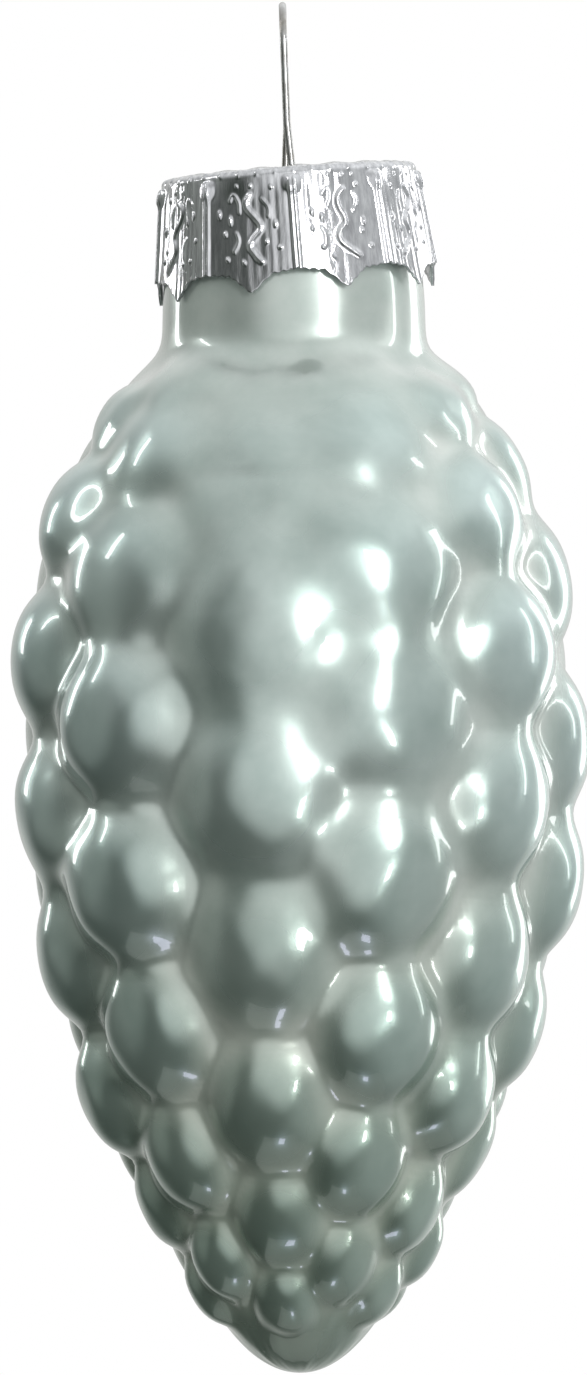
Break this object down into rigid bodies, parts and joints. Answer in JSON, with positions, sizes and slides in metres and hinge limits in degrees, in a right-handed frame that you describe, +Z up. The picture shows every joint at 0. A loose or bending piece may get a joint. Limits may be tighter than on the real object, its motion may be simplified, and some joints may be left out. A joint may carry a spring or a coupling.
{
  "type": "pine cone ornament",
  "caption": "Hollow blown glass pine cone with rounded scales, a stamped metal cap over its neck and a wire loop to hang it by.",
  "frame": {"origin": "inside of the wire loop's crown, where the thread or hook bears", "axes": "+Z up along the hanging direction, front of the ornament towards -Y, the loop's plane along Y and Z"},
  "size_m": [0.0465, 0.0457, 0.1097],
  "materials": {
    "pearl_glass": "clear glossy glass over a pearly grey-green coat",
    "cap_metal": "bright stamped sheet, embossed",
    "hanger_wire": "bright drawn spring wire"
  },
  "bodies": {
    "root": {"glass_body": "pearl_glass", "cap": "cap_metal", "hanger": "hanger_wire"}
  },
  "joints": []
}
